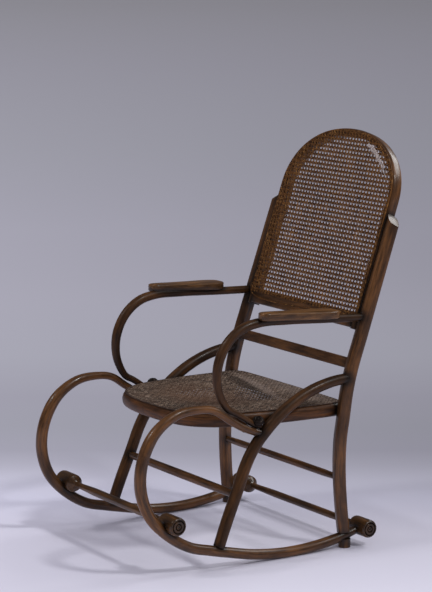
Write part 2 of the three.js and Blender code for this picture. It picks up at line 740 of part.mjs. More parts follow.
const holes = (...names) => names.map((name) => screws[name].hole);
addPair('rocker', cut(rockerBlank(rockerRod), [
  legTopCutter, rearBarCutter, bolt.hole, screws.rocker_end_screw.hole,
]), wood);
addPair('front_leg', cut(legBlank(legRod), [
  rockerFloorCutter, postCutters[0], ...holes('leg_top_screw', 'leg_seat_screw'),
]), wood);
addPair('back_post', cut(postBlank(0), [
  rockerFloorCutter, postTopCutter,
  ...holes('leg_top_screw', 'arm_rear_screw', 'post_seat_screw', 'hoop_screw_lower', 'hoop_screw_upper'),
]), wood);
addPair('arm', cut(armBlank(armRod), [
  postCutters[0], hoopCutter, legCutters[0], rockerCutters[0], bolt.hole,
  ...holes('arm_rear_screw', 'rocker_end_screw'),
]), wood);
addPair('arm_pad', cut(armPad(), [armCutters[0], postCutters[0]]), wood);
addPair('rear_stop', cut(rearStop(), [rockerFloorCutter]), wood);

const mirroredHoles = (...names) => names.flatMap((name) => [
  screws[name].hole, toSolid(mirrored(toGeometry(screws[name].hole))),
]);
add('seat_ring', cut(seatRing(), [
  ...legCutters, ...postCutters, ...mirroredHoles('leg_seat_screw', 'post_seat_screw'),
]), wood);
add('seat_cane', seatCane(), cane);
add('back_hoop', cut(hoopBlank(0), mirroredHoles('hoop_screw_lower', 'hoop_screw_upper')), wood);
add('back_cane', backCane(), cane);
const railRun = railTopRun - railHeight / 2;
const railForward = (hoopDepth - railDepth) / 2;
add('back_bottom_rail', cut(
  crossRail(railRun, railHeight, railDepth, railForward, hoopX(hoopFootRun)),
  [hoopCutter],
), wood);
add('lower_slat', cut(crossRail(slatRun, slatHeight, slatDepth, 0, runSideX(slatRun)), postCutters), wood);
add('leg_stretcher_front',
  cut(crossCylinder(pathPointAtHeight(legPath, frontStretcherZ), frontStretcherRod), legCutters), wood);
add('leg_stretcher_rear',
  cut(crossCylinder(pathPointAtHeight(postPath, rearStretcherZ), rearStretcherRod), postCutters), wood);
add('front_bar', cut(turnedBar(frontBarY, frontBarZ, frontBarRod), rockerCutters), wood);
add('rear_bar', turnedBar(rearBarY, rearBarZ, rearBarRod), wood);
addPair('arm_bolt', bolt.body, iron);
for (const [name, { body }] of Object.entries(screws)) addPair(name, body, iron);

// The origin stands on the floor, below the middle of the chair's box
chair.updateMatrixWorld(true);
const box = new THREE.Box3().setFromObject(chair, true);
const middle = box.getCenter(new THREE.Vector3());
chair.position.set(-middle.x, -middle.y, -box.min.z);

export default chair;
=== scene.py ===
from contextlib import contextmanager
import math

import bpy
import numpy as np
from mathutils import Matrix, Vector
from mathutils.bvhtree import BVHTree


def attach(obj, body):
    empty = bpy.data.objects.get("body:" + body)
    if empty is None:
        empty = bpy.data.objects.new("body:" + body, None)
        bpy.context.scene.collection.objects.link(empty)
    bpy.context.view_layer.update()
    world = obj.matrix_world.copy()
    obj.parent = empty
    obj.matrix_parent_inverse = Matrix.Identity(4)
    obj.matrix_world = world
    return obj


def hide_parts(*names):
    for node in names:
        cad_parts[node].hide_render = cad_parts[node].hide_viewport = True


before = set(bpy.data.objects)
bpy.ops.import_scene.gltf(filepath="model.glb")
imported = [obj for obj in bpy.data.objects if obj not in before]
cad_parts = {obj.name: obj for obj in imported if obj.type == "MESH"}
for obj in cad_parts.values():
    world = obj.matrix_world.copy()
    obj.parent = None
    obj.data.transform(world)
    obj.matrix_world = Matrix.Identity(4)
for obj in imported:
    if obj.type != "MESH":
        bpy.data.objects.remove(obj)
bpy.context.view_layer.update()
print("frame loaded")

milli = 0.001  # sizes and places below are in millimetres, unless a note says metres
upward = Vector((0, 0, 1))
sideways = Vector((1, 0, 0))


def tone(text):
    # a colour written as on a paint chart, made linear
    parts = [int(text[i:i + 2], 16) / 255 for i in (0, 2, 4)]
    return tuple(c / 12.92 if c <= 0.04045 else ((c + 0.055) / 1.055) ** 2.4 for c in parts) + (1.0,)


# lines and sections
def metres(points):
    return [Vector(point) * milli for point in points]


def reachAlong(stations):
    # how far each station lies along its line
    return np.concatenate([[0], np.cumsum(np.linalg.norm(np.diff(stations, axis=0), axis=1))])


def straightLine(start, end, steps=12):
    return [start.lerp(end, step / steps) for step in range(steps + 1)]


def eased(share):
    # starts and ends gently
    return share * share * (3 - 2 * share)


def bentLine(points, steps, closed=False, perSpan=24):
    # a line through the points that bends as a steamed rod does, in even steps
    count = len(points)
    line = []
    for i in range(count if closed else count - 1):
        start, end = points[i], points[(i + 1) % count]
        before = points[i - 1] if closed or i else start * 2 - end
        after = points[(i + 2) % count] if closed or i + 2 < count else end * 2 - start
        four = (before, start, end, after)
        spans = [max((b - a).length ** 0.5, 1e-6) for a, b in zip(four, four[1:])]
        leave, arrive = (((b - a) / near - (c - a) / (near + far) + (c - b) / far) * spans[1]
                         for a, b, c, near, far in zip(four, four[1:], four[2:], spans, spans[1:]))
        for step in range(perSpan):
            t = step / perSpan
            line.append(start + leave * t + ((end - start) * 3 - leave * 2 - arrive) * t ** 2
                        + ((start - end) * 2 + leave + arrive) * t ** 3)
    line.append(points[0] if closed else points[-1])
    corners = np.array(line)
    reach = reachAlong(corners)
    stops = np.linspace(0, reach[-1], steps + 1)[:steps if closed else steps + 1]
    return [Vector(place) for place in
            np.column_stack([np.interp(stops, reach, corners[:, k]) for k in range(corners.shape[1])])]


def bothSides(half, steps):
    # a closed outline from its right half, in millimetres
    whole = half + [(-x, y) for x, y in reversed(half[1:-1])]
    return bentLine(metres([(x, y, 0) for x, y in whole]), steps, True)


def sizesAlong(table, count):
    return np.interp(np.linspace(0, 1, count), [row[0] for row in table], [row[1] for row in table])


def roundSection(diameter, sides):
    return [(math.cos(math.tau * i / sides) * diameter / 2 * milli,
             math.sin(math.tau * i / sides) * diameter / 2 * milli) for i in range(sides)]


def softSection(values, steps=4):
    width, depth, corner = (values[name] for name in ("width", "depth", "corner"))
    section = []
    for quarter, (signX, signY) in enumerate(((1, 1), (-1, 1), (-1, -1), (1, -1))):
        for step in range(steps + 1):
            angle = (quarter + step / steps) * math.pi / 2
            section.append(((signX * (width / 2 - corner) + math.cos(angle) * corner) * milli,
                            (signY * (depth / 2 - corner) + math.sin(angle) * corner) * milli))
    return section


# making and finishing meshes
def selectOnly(piece):
    bpy.ops.object.select_all(action="DESELECT")
    piece.select_set(True)
    bpy.context.view_layer.objects.active = piece


@contextmanager
def allSelected(piece):
    # edit mode with the whole mesh selected
    selectOnly(piece)
    bpy.ops.object.mode_set(mode="EDIT")
    bpy.ops.mesh.select_all(action="SELECT")
    yield
    bpy.ops.object.mode_set(mode="OBJECT")


def addObject(name, data):
    added = bpy.data.objects.new(name, data)
    bpy.context.scene.collection.objects.link(added)
    return added


def meshPiece(name, corners, edges, faces):
    mesh = bpy.data.meshes.new(name)
    mesh.from_pydata(corners, edges, faces)
    return addObject(name, mesh)


def cornersOf(piece):
    corners = np.empty(len(piece.data.vertices) * 3)
    piece.data.vertices.foreach_get("co", corners)
    return corners.reshape(-1, 3)


def drawSpline(curve, line, closed, sizes=None):
    spline = curve.splines.new("POLY")
    spline.points.add(len(line) - 1)
    spline.points.foreach_set("co", np.array([(*point, 1.0) for point in line]).ravel())
    if sizes is not None:
        spline.points.foreach_set("radius", np.array(sizes))
    spline.use_cyclic_u = closed


def sweep(lines, section, sizes=None, closed=False, capped=True, twist="MINIMUM"):
    # carries a flat section along each line, as a mesh
    outline = bpy.data.curves.new("section", "CURVE")
    outline.dimensions = "2D"
    drawSpline(outline, [(x, y, 0) for x, y in section], True)
    pattern = addObject("section", outline)
    bpy.ops.object.select_all(action="DESELECT")
    bpy.ops.curve.primitive_nurbs_path_add()
    piece = bpy.context.object
    piece.data.splines.clear()
    for index, line in enumerate(lines):
        drawSpline(piece.data, line, closed, sizes[index] if sizes else None)
    piece.data.dimensions = "3D"
    piece.data.twist_mode = twist
    piece.data.bevel_mode = "OBJECT"
    piece.data.bevel_object = pattern
    piece.data.use_fill_caps = capped and not closed
    bpy.ops.object.convert(target="MESH")
    bpy.data.objects.remove(pattern)
    return bpy.context.object


def closeUp(piece, reach=0.00001):
    # joins corners that lie this near to each other, in metres, and turns the faces outward
    with allSelected(piece):
        bpy.ops.mesh.remove_doubles(threshold=reach)
        bpy.ops.mesh.normals_make_consistent(inside=False)


def softenEdges(piece, width, segments=2, angle=35):
    # a small round on every sharp edge
    selectOnly(piece)
    bevel = piece.modifiers.new("edges", "BEVEL")
    bevel.width = width * milli
    bevel.segments = segments
    bevel.limit_method = "ANGLE"
    bevel.angle_limit = math.radians(angle)
    bpy.ops.object.modifier_apply(modifier=bevel.name)


def smooth(piece, angle=40):
    selectOnly(piece)
    bpy.ops.object.shade_smooth_by_angle(angle=math.radians(angle))


def cornerValues(piece, name, kind="FLOAT"):
    # the values stored at the mesh's corners under this name
    attributes = piece.data.attributes
    return (attributes.get(name) or attributes.new(name, kind, "POINT")).data


def storeGrain(piece, grain):
    cornerValues(piece, "grain", "FLOAT_VECTOR").foreach_set("vector", np.ravel(grain))


def layGrain(piece, line, side):
    # where each corner lies along the bent line and across it, for the wood's fibres
    stations = np.array(line)
    along = np.gradient(stations, axis=0)
    along /= np.linalg.norm(along, axis=1)[:, None]
    reach = reachAlong(stations)
    corners = cornersOf(piece)
    near = ((stations ** 2).sum(1) - 2 * corners @ stations.T).argmin(1)
    away = corners - stations[near]
    forward = (away * along[near]).sum(1)
    first = np.array(side)
    second = np.cross(along[near], first)
    storeGrain(piece, np.column_stack([reach[near] + forward, away @ first, (away * second).sum(1)]))


def settle(piece, name, material, nodes=(), slotName="bent_wood"):
    piece.name = name
    piece.data.name = name
    piece.data.materials.clear()
    piece.data.materials.append(material)
    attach(piece, "root")
    if nodes:
        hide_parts(*nodes)


def settlePair(piece, name, material, node, grainShift=3.7):
    # the left piece and its mirror image, each with its own mesh and its own grain
    other = piece.copy()
    other.data = piece.data.copy()
    bpy.context.scene.collection.objects.link(other)
    other.data.transform(Matrix.Scale(-1, 4, sideways))
    other.data.flip_normals()
    grain = cornerValues(other, "grain")
    values = np.empty(len(grain) * 3)
    grain.foreach_get("vector", values)
    grain.foreach_set("vector", values + grainShift)
    settle(piece, name + "Left", material, [node + "_left"])
    settle(other, name + "Right", material, [node + "_right"])


def bentRod(points, steps, section, table, endRound=1.2):
    # a rod with a small round at both of its ends
    line = bentLine(metres(points), steps)
    sizes = list(sizesAlong(table, len(line)))
    reach = max(abs(x) for x, y in section)
    for end, inner, at in ((0, 1, 1), (-1, -2, -1)):
        step = (line[inner] - line[end]).normalized() * endRound * milli
        line.insert(at, line[end] + step)
        sizes.insert(at, sizes[end])
        sizes[end] *= 1 - endRound * milli / reach
    piece = sweep([line], section, [sizes])
    closeUp(piece)
    layGrain(piece, line, sideways)
    return piece


def bendLoop(name, line, section, place, look, rise=0, **settling):
    # a closed loop, bent flat and then carried to its place
    piece = sweep([[point + upward * rise * milli for point in line]], section, closed=True)
    closeUp(piece)
    layGrain(piece, line + [line[0]], upward)
    piece.data.transform(place)
    smooth(piece)
    settle(piece, name, look, **settling)


def bothEnds(half):
    # the profile of a rod whose two ends are alike
    return half + [(radius, -along) for radius, along in reversed(half[:-1])]


def turned(profile, place, direction=sideways, steps=48):
    # spins a profile of (radius, place along) pairs about its own axis
    piece = meshPiece("turned", [(along * milli, radius * milli, 0) for radius, along in profile],
                      [(i, i + 1) for i in range(len(profile) - 1)], [])
    with allSelected(piece):
        bpy.ops.mesh.spin(steps=steps, angle=math.tau, center=(0, 0, 0), axis=(1, 0, 0))
    closeUp(piece)
    aim = sideways.rotation_difference(direction).to_matrix().to_4x4()
    centre = Vector(place) * milli
    piece.data.transform(Matrix.Translation(centre) @ aim)
    ends = [centre + direction * along * milli for along in (profile[0][1], profile[-1][1])]
    layGrain(piece, straightLine(*ends), direction.orthogonal().normalized())
    return piece


# materials
def nodeGroup(name, setting, *results):
    # a group that reads a place and one setting, and gives numbers
    group = bpy.data.node_groups.new(name, "ShaderNodeTree")
    group.interface.new_socket("Place", in_out="INPUT", socket_type="NodeSocketVector")
    group.interface.new_socket(setting, in_out="INPUT", socket_type="NodeSocketFloat")
    for result in results:
        group.interface.new_socket(result, in_out="OUTPUT", socket_type="NodeSocketFloat")
    return group, group.nodes.new("NodeGroupInput"), group.nodes.new("NodeGroupOutput")


def adjust(thing, settings):
    for label, value in settings.items():
        setattr(thing, label, value)


def feed(tree, node, inputs):
    # each input is a number, a colour or another node's output
    for label, value in inputs.items():
        if isinstance(value, bpy.types.NodeSocket):
            tree.links.new(value, node.inputs[label])
        else:
            node.inputs[label].default_value = value
    return node


def addNode(tree, kind, inputs, **settings):
    node = tree.nodes.new("ShaderNode" + kind)
    adjust(node, settings)
    return feed(tree, node, inputs)


def calculate(tree, kind, first, second, clamp=False):
    return addNode(tree, "Math", {0: first, 1: second}, operation=kind, use_clamp=clamp).outputs[0]


def times(tree, first, second, clamp=False):
    return calculate(tree, "MULTIPLY", first, second, clamp)


def stretched(tree, vector, scale, size, detail, roughness=0.55):
    # noise on coordinates that are drawn out along one of their axes
    mapping = addNode(tree, "Mapping", {"Vector": vector, "Scale": scale})
    return addNode(tree, "TexNoise", {"Vector": mapping.outputs[0], "Scale": size, "Detail": detail,
                                      "Roughness": roughness}).outputs["Fac"]


def spread(tree, value, low, high, toLow=0.0, toHigh=1.0):
    return addNode(tree, "MapRange", {"Value": value, "From Min": low, "From Max": high,
                                      "To Min": toLow, "To Max": toHigh}).outputs[0]


def blendColours(tree, amount, first, second, kind="MIX"):
    inputs = {0: amount, 6: first, 7: second}
    return addNode(tree, "Mix", inputs, data_type="RGBA", blend_type=kind).outputs[2]


def spotOn(tree):
    return addNode(tree, "TexCoord", {}).outputs["Object"]


grainLook = {  # each noise by its stretch, size, detail and roughness
    "broad": ((0.1, 1, 1), 150, 4), "fine": ((0.05, 1, 1), 620, 3, 0.65), "broadShare": 0.62,
    "middle": 0.5, "lift": 2.6, "pores": ((0.06, 1, 1), 1500, 1), "poreRange": (0.62, 0.72),
    "mottle": ((0.35, 1, 1), 22, 3), "mottleRange": (0.34, 0.66),
}
rubLook = {
    "patches": ((1, 1, 1), 9, 5, 0.6), "patchRange": (0.5, 0.72), "scuffs": ((1, 1, 1), 120, 3),
    "scuffRange": (0.4, 0.62), "dustRange": (0.45, 0.75),
}


def buildGrain(values):
    # fibres, pores and slow changes of tone that run along the wood
    group, inside, outside = nodeGroup("woodGrain", "Contrast", "Fibres", "Pores", "Mottle")
    broad, fine, pores, mottle = (stretched(group, inside.outputs["Place"], *values[name])
                                  for name in ("broad", "fine", "pores", "mottle"))
    fibres = calculate(group, "ADD", times(group, broad, values["broadShare"]),
                       times(group, fine, 1 - values["broadShare"]))
    apart = times(group, calculate(group, "SUBTRACT", fibres, values["middle"]), inside.outputs["Contrast"])
    lifted = calculate(group, "ADD", times(group, apart, values["lift"]), values["middle"], clamp=True)
    feed(group, outside, {"Fibres": lifted, "Pores": spread(group, pores, *values["poreRange"]),
                          "Mottle": spread(group, mottle, *values["mottleRange"])})
    return group


def buildRub(values):
    # places where hands, feet and years have rubbed the finish
    group, inside, outside = nodeGroup("rubbedFinish", "Amount", "Rubbed", "Dust")
    patches, scuffs = (stretched(group, inside.outputs["Place"], *values[name])
                       for name in ("patches", "scuffs"))
    rubbed = times(group, spread(group, patches, *values["patchRange"]),
                   spread(group, scuffs, *values["scuffRange"]))
    feed(group, outside, {"Rubbed": times(group, rubbed, inside.outputs["Amount"], clamp=True),
                          "Dust": spread(group, scuffs, *values["dustRange"])})
    return group


woodGrain = buildGrain(grainLook)
rubbedFinish = buildRub(rubLook)


def newMaterial(name, inputs):
    material = bpy.data.materials.new(name)
    material.use_nodes = True
    tree = material.node_tree
    return material, tree, feed(tree, tree.nodes["Principled BSDF"], inputs)


def attributeOf(tree, name, output):
    return addNode(tree, "Attribute", {}, attribute_name=name).outputs[output]


def rubbing(tree, values, result="Rubbed"):
    inputs = {"Place": spotOn(tree), "Amount": values["rub"]}
    return addNode(tree, "Group", inputs, node_tree=rubbedFinish).outputs[result]


def layered(tree, base, *layers):
    # each layer is an amount and the tone that it lays over those before it
    colour = tone(base)
    for amount, over in layers:
        colour = blendColours(tree, amount, colour, tone(over))
    return colour


def dress(tree, shader, colour, roughness, height, bump):
    relief = addNode(tree, "Bump", {"Height": height, "Distance": bump[0], "Strength": bump[1]})
    feed(tree, shader, {"Base Color": colour, "Roughness": roughness, "Normal": relief.outputs[0]})


stainedWood = {
    "deep": "22160c", "body": "4c3019", "warm": "7e5229", "pore": "100a05", "grimeAndShade": "0d0906",
    "roughness": 0.32, "reflection": 0.3, "coat": 0.14, "coatRoughness": 0.14, "contrast": 1.05,
    "grimeAndShadeShare": 0.88, "rub": 0.7, "wornShare": 0.45, "poreShare": 0.55, "cloudLow": 0.82,
    "fibreSheen": 0.1, "rubSheen": 0.18, "fibreHeight": 0.5, "bump": (0.00012, 0.5),
}


def makeWood(name, values):
    material, tree, shader = newMaterial(name, {
        "Specular IOR Level": values["reflection"], "Coat Weight": values["coat"],
        "Coat Roughness": values["coatRoughness"]})
    inputs = {"Place": attributeOf(tree, "grain", "Vector"), "Contrast": values["contrast"]}
    grain = addNode(tree, "Group", inputs, node_tree=woodGrain)
    fibres, pores, mottle = (grain.outputs[name] for name in ("Fibres", "Pores", "Mottle"))
    rubbed = rubbing(tree, values)
    # the last layer holds the old stain in turned grooves and the darkening near joints, which is partly dirt
    # and partly painted shade
    colour = layered(
        tree, values["deep"],
        (times(tree, fibres, spread(tree, mottle, 0, 1, values["cloudLow"], 1)), values["body"]),
        (times(tree, mottle, fibres), values["warm"]),
        (times(tree, rubbed, values["wornShare"]), values["warm"]),
        (times(tree, pores, values["poreShare"]), values["pore"]),
        (times(tree, attributeOf(tree, "grimeAndShade", "Fac"), values["grimeAndShadeShare"]), values["grimeAndShade"]))
    sheen = calculate(tree, "ADD", times(tree, fibres, values["fibreSheen"]),
                      times(tree, rubbed, values["rubSheen"]))
    dull = calculate(tree, "ADD", sheen, values["roughness"] - values["fibreSheen"] / 2)
    height = calculate(tree, "SUBTRACT", times(tree, fibres, values["fibreHeight"]), pores)
    dress(tree, shader, colour, dull, height, values["bump"])
    return material


caneLook = {
    "dark": "2c180a", "body": "70471f", "pale": "bb8a4c", "roughness": 0.5, "reflection": 0.15, "patches": [],
    "rub": 1.0, "each": ((5, 1, 1), 1, 2), "eachRange": (0.35, 0.65), "streaks": ((60, 1, 1), 1, 3),
    "streakRange": (0.5, 0.75), "streakShare": 0.6, "rubShare": 0.5, "bump": (0.0001, 0.4),
    "sheenRange": (0.3, 0.7), "sheen": (-0.1, 0.15),
}
# in metres and degrees: a worn hollow, painted shade along the fold behind it, a painted highlight along its
# crest and a painted sheen over the rear
seatWearAndPaintedLight = [
    {"at": (-0.02, -0.06), "reach": (0.19, 0.14), "turn": 0, "tone": "6c4a34", "share": 0.35},
    {"at": (-0.06, 0.108), "reach": (0.25, 0.022), "turn": -12, "tone": "1c130e", "share": 0.55},
    {"at": (-0.04, 0.132), "reach": (0.2, 0.024), "turn": -13, "tone": "a09088", "share": 0.25},
    {"at": (0.06, 0.2), "reach": (0.3, 0.08), "turn": -5, "tone": "a09086", "share": 0.2},
]
patchHeight = 50
patchFade = 0.6


def patchMask(tree, patch):
    # a soft oval, seen from above, and so tall that height has no say
    mapping = addNode(tree, "Mapping", {
        "Vector": spotOn(tree), "Location": (*patch["at"], 0),
        "Rotation": (0, 0, math.radians(patch["turn"])), "Scale": (*patch["reach"], patchHeight),
    }, vector_type="TEXTURE")
    oval = addNode(tree, "TexGradient", {"Vector": mapping.outputs[0]}, gradient_type="SPHERICAL")
    return spread(tree, oval.outputs["Fac"], 0, patchFade, 0, patch["share"])


def makeCane(name, values):
    material, tree, shader = newMaterial(name, {"Specular IOR Level": values["reflection"]})
    along = attributeOf(tree, "grain", "Vector")
    each, streaks = (stretched(tree, along, *values[name]) for name in ("each", "streaks"))
    pale = times(tree, spread(tree, streaks, *values["streakRange"]), values["streakShare"])
    colour = layered(
        tree, values["dark"], (spread(tree, each, *values["eachRange"]), values["body"]),
        (pale, values["pale"]), (times(tree, rubbing(tree, values), values["rubShare"]), values["dark"]),
        *((patchMask(tree, patch), patch["tone"]) for patch in values["patches"]))
    low, high = (values["roughness"] + change for change in values["sheen"])
    dull = spread(tree, streaks, *values["sheenRange"], low, high)
    dress(tree, shader, colour, dull, streaks, values["bump"])
    return material


ironLook = {
    "body": "1f1a17", "rust": "3a2418", "roughness": 0.42, "metallic": 0.75, "rub": 1.0, "dustSheen": 0.2,
    "freckles": ((1, 1, 1), 700, 3), "freckleRange": (0.5, 0.7), "bump": (0.0001, 0.5),
}


def makeIron(name, values):
    material, tree, shader = newMaterial(name, {"Metallic": values["metallic"]})
    freckles = stretched(tree, spotOn(tree), *values["freckles"])
    colour = layered(tree, values["body"], (spread(tree, freckles, *values["freckleRange"]), values["rust"]))
    dust = times(tree, rubbing(tree, values, "Dust"), values["dustSheen"])
    dull = calculate(tree, "ADD", dust, values["roughness"])
    dress(tree, shader, colour, dull, freckles, values["bump"])
    return material


wood = makeWood("stainedBeech", stainedWood)
darkWood = makeWood("darkBeech", dict(
    stainedWood, deep="190f07", body="3a2412", warm="623e1b", coat=0.05, reflection=0.2, roughness=0.4))
# the pads' whole tone is lighter, partly for dust and partly as a painted sheen
padWoodDustAndSheen = makeWood("padBeech", dict(stainedWood, deep="24170d", body="593b21", warm="8d6236"))
ringWood = makeWood("seatBeech", dict(
    stainedWood, deep="1a0e08", body="40250f", warm="6c421e", coat=0.05, reflection=0.22, roughness=0.42))
endWood = makeWood("turnedBeech", dict(stainedWood, deep="1a1009", body="3c2715", warm="704a22"))
cane = makeCane("agedCane", caneLook)
# the seat's patches lay a worn tone, painted shade and painted highlights over its cane
seatLook = makeCane("seatCane", dict(
    caneLook, dark="261a14", body="6c5748", pale="c2ae9a", patches=seatWearAndPaintedLight))
caneTrim = makeCane("caneBinding", dict(caneLook, dark="2c2019", body="54433a", pale="83705f"))
frayed = makeCane("frayedCane", dict(caneLook, dark="b8aaa2", body="ebe2dd", pale="fffaf6"))
iron = makeIron("darkIron", ironLook)
print("materials made")

# side frames
rocker = {
    "points": [
        (282.3, 245.3, 45.7), (281.0, 186.4, 30.4), (279.5, 127.6, 20.1), (278.0, 68.7, 14.5),
        (276.3, 9.8, 13.5), (274.5, -49.0, 17.2), (272.5, -107.9, 25.6), (270.5, -166.7, 38.8),
        (268.4, -226.4, 53.1), (266.0, -291.7, 72.0), (262.9, -359.5, 116.2), (260.0, -409.6, 173.1),
        (257.4, -431.9, 245.7), (255.8, -423.0, 318.2), (255.2, -385.4, 383.0), (256.1, -319.5, 423.0),
        (258.2, -242.4, 427.5), (259.5, -205.5, 418.5), (261.6, -161.2, 388.9), (263.3, -122.0, 365.4),
        (265.7, -60.7, 340.5),
    ],
    "rod": 28, "sides": 32, "steps": 190,
    "sizes": [(0, 0.75), (0.07, 1), (0.44, 1), (0.6, 1.125), (0.7, 1.125), (0.84, 0.75), (1, 0.714)],
}
frontLeg = {
    "points": [
        (269.0, -201.7, 58.1), (268.1, -176.8, 121.4), (267.0, -141.4, 203.2), (266.1, -114.3, 267.6),
        (265.7, -87.2, 311.1), (265.8, -51.9, 349.0), (266.0, -10.2, 384.5), (266.6, 37.7, 415.5),
        (267.6, 93.9, 440.1), (269.0, 156.3, 455.8), (270.5, 214.6, 461.1),
    ],
    "rod": 32, "sides": 32, "steps": 90, "sizes": [(0, 0.969), (0.15, 1), (0.6, 1), (1, 0.875)],
}
backPost = {
    "points": [
        (280.9, 192.3, 40.7), (278.8, 185.4, 110.1), (277.0, 181.2, 175.3), (275.3, 180.3, 240.1),
        (273.9, 184.2, 300.0), (272.8, 193.2, 352.1), (271.3, 205.2, 423.2), (270.1, 222.3, 487.0),
        (269.8, 251.3, 569.4), (269.1, 309.4, 734.3), (268.4, 367.4, 899.2),
    ],
    "width": 30, "depth": 34, "corner": 9, "steps": 90,
    "sizes": [(0, 0.94), (0.4, 1), (0.7, 1), (1, 0.96)],
    "bevelApex": (260.9, 360.8, 880.3), "bevelAngle": 41, "bevelEdge": 1.4, "grainSteps": 60,
}
arm = {
    "points": [
        (267.7, 257.3, 621.0), (264.7, 158.8, 626.0), (260.4, 18.0, 634.5), (257.9, -65.7, 637.0),
        (255.5, -123.6, 623.6), (254.2, -169.7, 586.3), (253.8, -194.8, 532.4), (254.4, -193.8, 473.1),
        (255.6, -166.9, 420.2), (256.8, -139.7, 404.0), (257.9, -115.2, 388.2), (259.0, -90.7, 371.6),
        (260.1, -63.7, 361.2),
    ],
    "rod": 22, "sides": 28, "steps": 130,
    "sizes": [(0, 1), (0.3, 1), (0.48, 1.182), (0.66, 1.182), (0.93, 0.727), (1, 0.727)],
}


def bendSideFrames():
    for name, node, values, look in (("rocker", "rocker", rocker, wood), ("arm", "arm", arm, darkWood),
                                     ("frontLeg", "front_leg", frontLeg, darkWood)):
        piece = bentRod(values["points"], values["steps"], roundSection(values["rod"], values["sides"]),
                        values["sizes"])
        smooth(piece)
        settlePair(piece, name, look, node)


backRun = Vector((0, 0.3322, 0.9432))  # up the back
backFront = Vector((0, -0.9432, 0.3322))  # out of the back, toward the sitter
backFoot = Vector((0, 222.3, 487.0)) * milli


def shapePosts():
    post = bentRod(backPost["points"], backPost["steps"], softSection(backPost), backPost["sizes"])
    tilt = math.radians(backPost["bevelAngle"])
    with allSelected(post):
        bpy.ops.mesh.bisect(
            plane_co=Vector(backPost["bevelApex"]) * milli,
            plane_no=sideways * math.sin(tilt) + backRun * math.cos(tilt),
            use_fill=True, clear_outer=True)
    closeUp(post)
    softenEdges(post, backPost["bevelEdge"], segments=3)
    # the cut face has no grain of its own, so it is laid again
    layGrain(post, bentLine(metres(backPost["points"]), backPost["grainSteps"]), sideways)
    smooth(post)
    settlePair(post, "backPost", wood, "back_post")


bendSideFrames()
shapePosts()
print("side frames bent")

# back
hoop = {
    "width": 22, "depth": 33, "corner": 8, "footRun": 101, "archRun": 458, "archRise": 171,
    "power": 2.1, "halfWidth": 243.8, "narrowing": 0.004, "steps": 200, "legSteps": 7, "archSteps": 22,
    "archEase": 1.2, "edge": 1.0,
}


def hoopEdge(footRun, grow):
    # the hoop's line in the back's own plane, from the left foot over the crown to the right one
    runs = np.linspace(footRun, hoop["archRun"], hoop["legSteps"] + 1)
    half = [(hoop["halfWidth"] - hoop["narrowing"] * run + grow, run) for run in runs]
    springing = half.pop()[0]
    for step in range(hoop["archSteps"] + 1):
        angle = (step / hoop["archSteps"]) ** hoop["archEase"] * math.pi / 2
        wide, high = (max(part, 0) ** (2 / hoop["power"]) for part in (math.cos(angle), math.sin(angle)))
        half.append((springing * wide, hoop["archRun"] + (hoop["archRise"] + grow) * high))
    half[-1] = (0, half[-1][1])
    return half + [(-x, run) for x, run in reversed(half[:-1])]


def onBack(x, run, depth=0):
    return Vector((x * milli, 0, 0)) + backFoot + backRun * (run * milli) + backFront * (depth * milli)


backPlane = Matrix.Translation(backFoot) @ Matrix((
    (1, 0, 0, 0), (0, backRun.y, backFront.y, 0), (0, backRun.z, backFront.z, 0), (0, 0, 0, 1)))


def bendHoop():
    line = bentLine([onBack(x, run) for x, run in hoopEdge(hoop["footRun"], 0)], hoop["steps"])
    piece = sweep([line], softSection(hoop))
    closeUp(piece)
    layGrain(piece, line, backFront)
    softenEdges(piece, hoop["edge"], angle=60)
    smooth(piece)
    settle(piece, "backHoop", wood, ["back_hoop"])


crossRails = {  # the width goes through the back, the depth up it
    "bottomRail": {"node": "back_bottom_rail", "run": 125, "width": 22, "depth": 42, "shift": 5.5,
                   "half": 236, "corner": 3},
    "lowerSlat": {"node": "lower_slat", "run": 10, "width": 14, "depth": 29, "shift": 0,
                  "half": 262, "corner": 3},
}


def planeRails():
    lean = math.atan2(backRun.y, backRun.z)
    for name, values in crossRails.items():
        ends = [onBack(side * values["half"], values["run"], values["shift"]) for side in (-1, 1)]
        line = straightLine(*ends)
        # drawn upright along the x axis, then leant into the back's plane
        piece = sweep([[Vector((point.x, 0, 0)) for point in line]], softSection(values))
        piece.data.transform(Matrix.Translation((ends[0] + ends[1]) / 2) @ Matrix.Rotation(-lean, 4, "X"))
        closeUp(piece)
        layGrain(piece, line, backFront)
        smooth(piece)
        settle(piece, name, wood, [values["node"]])


bendHoop()
planeRails()
print("back framed")

# seat
seat = {
    "halfWidth": 258, "front": -261.7, "back": 220.3, "pivotY": -16.7, "top": 395, "slope": 0.9,
    "plan": [
        (0, 0), (0.37, 0.014), (0.63, 0.062), (0.81, 0.165), (0.9, 0.275), (0.933, 0.37), (0.972, 0.49),
        (0.993, 0.61), (1.003, 0.78), (1.004, 0.9), (0.985, 0.955), (0.9, 0.99), (0.7, 1), (0.35, 1.003),
        (0, 1.004),
    ],
    "ringWidth": 30, "ringHeight": 36,
    "section": [
        (-1, -0.92), (-0.95, -0.98), (-0.88, -1), (-0.3, -1), (-0.18, -0.95), (-0.08, -0.84), (-0.02, -0.68),
        (0, -0.5), (-0.02, -0.34), (-0.07, -0.2), (-0.16, -0.08), (-0.28, -0.02), (-0.4, 0), (-0.93, 0),
        (-1, -0.04),
    ],
    "sag": 14,
}
seatTilt = (Matrix.Translation(Vector((0, seat["pivotY"], seat["top"])) * milli)
            @ Matrix.Rotation(-math.radians(seat["slope"]), 4, "X")
            @ Matrix.Translation(Vector((0, -seat["pivotY"], 0)) * milli))


